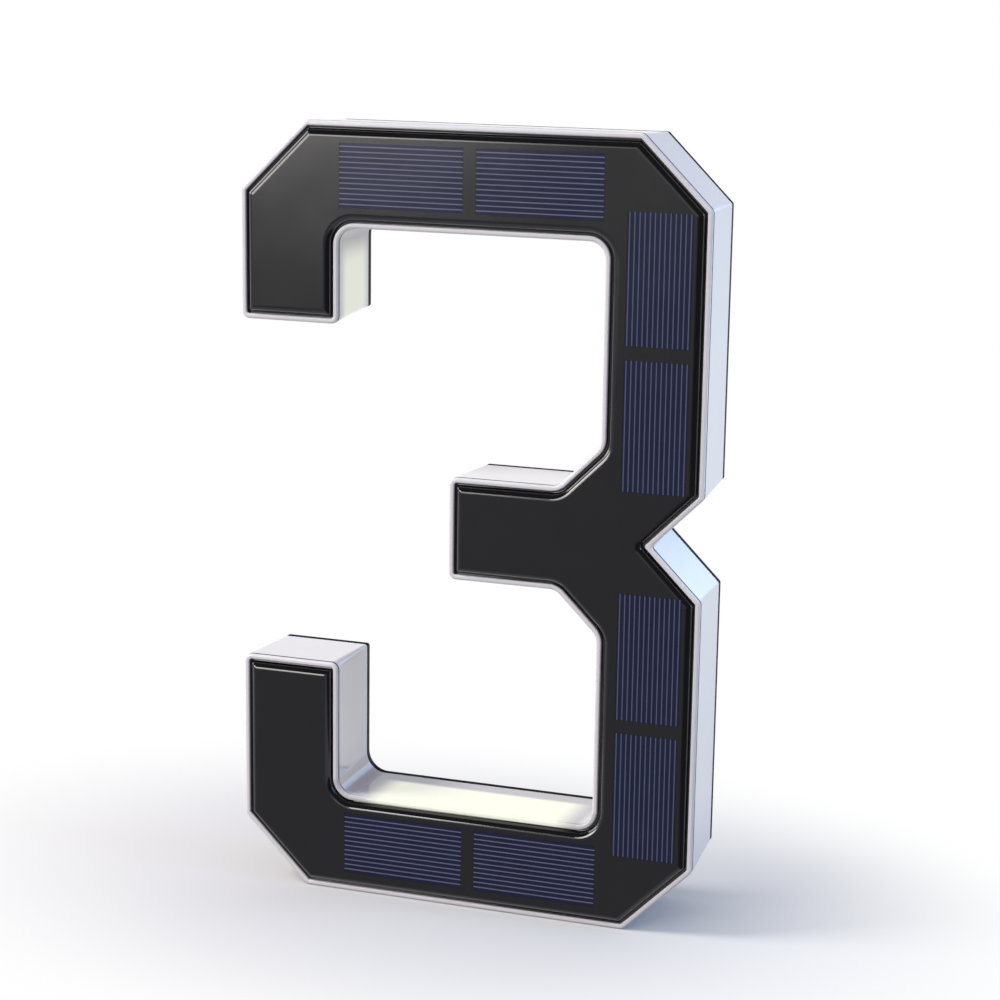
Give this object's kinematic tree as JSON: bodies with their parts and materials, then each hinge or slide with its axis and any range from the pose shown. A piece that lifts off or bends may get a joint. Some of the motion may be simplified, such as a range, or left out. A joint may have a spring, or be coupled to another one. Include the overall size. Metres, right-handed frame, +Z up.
{
  "type": "illuminated house number sign",
  "caption": "Digit 3 as a solar lit house number: translucent diffuser shell, gloss black face with solar cells, thin back cover with keyholes and a push button.",
  "frame": {"origin": "middle of the bounding box at its foot", "axes": "+Z up the digit, -Y out of its face towards the viewer, +X to the viewer's right; the back face towards the wall is at the +Y end"},
  "size_m": [0.0974, 0.0212, 0.16],
  "materials": {
    "shell": "translucent white, satin",
    "panel": "polished black",
    "cell": "dark blue silicon under clear resin, with fine printed lines",
    "adhesive": "foam tape",
    "tinned_tab": "tinned copper",
    "red_lead": "insulated wire",
    "black_lead": "insulated wire",
    "cover": "fine moulded texture",
    "seal": "silicone",
    "screw": "zinc plated",
    "button": "satin",
    "switch": "moulded",
    "plunger": "moulded",
    "board": "solder mask",
    "chip": "moulded",
    "ferrite": "ferrite",
    "battery": "shrink sleeve",
    "pad": "foam",
    "strip": "white solder mask",
    "led": "phosphor"
  },
  "bodies": {
    "housing": {"diffuser_shell": "shell", "front_panel": "panel", "solar_cell_top_left": "cell", "solar_cell_top_right": "cell", "solar_cell_upper_high": "cell", "solar_cell_upper_low": "cell", "solar_cell_lower_high": "cell", "solar_cell_lower_low": "cell", "solar_cell_bottom_right": "cell", "solar_cell_bottom_left": "cell", "panel_adhesive": "adhesive", "cell_ribbons": "tinned_tab", "battery_tabs": "tinned_tab", "solar_lead_plus": "red_lead", "battery_lead_plus": "red_lead", "led_leads_plus": "red_lead", "solar_lead_minus": "black_lead", "battery_lead_minus": "black_lead", "led_leads_minus": "black_lead", "back_cover": "cover", "back_seal": "seal", "button_seal": "seal", "cover_screws": "screw", "board_screws": "screw", "switch_body": "switch", "control_board": "board", "control_chip": "chip", "board_inductor": "ferrite", "battery_cell": "battery", "battery_pad": "pad", "led_strip_top": "strip", "leds_top": "led", "led_strip_upper_leg": "strip", "leds_upper_leg": "led", "led_strip_right": "strip", "leds_right": "led", "led_strip_bottom": "strip", "leds_bottom": "led", "led_strip_lower_leg": "strip", "leds_lower_leg": "led"},
    "button": {"power_button": "button", "switch_plunger": "plunger"}
  },
  "joints": [
    {"name": "power_button_push", "type": "slide", "parent": "housing", "child": "button", "axis": [0, -1, 0], "range_m": [0, 0.0015], "stiffness_N_per_m": 900, "springref_m": -0.0012}
  ]
}
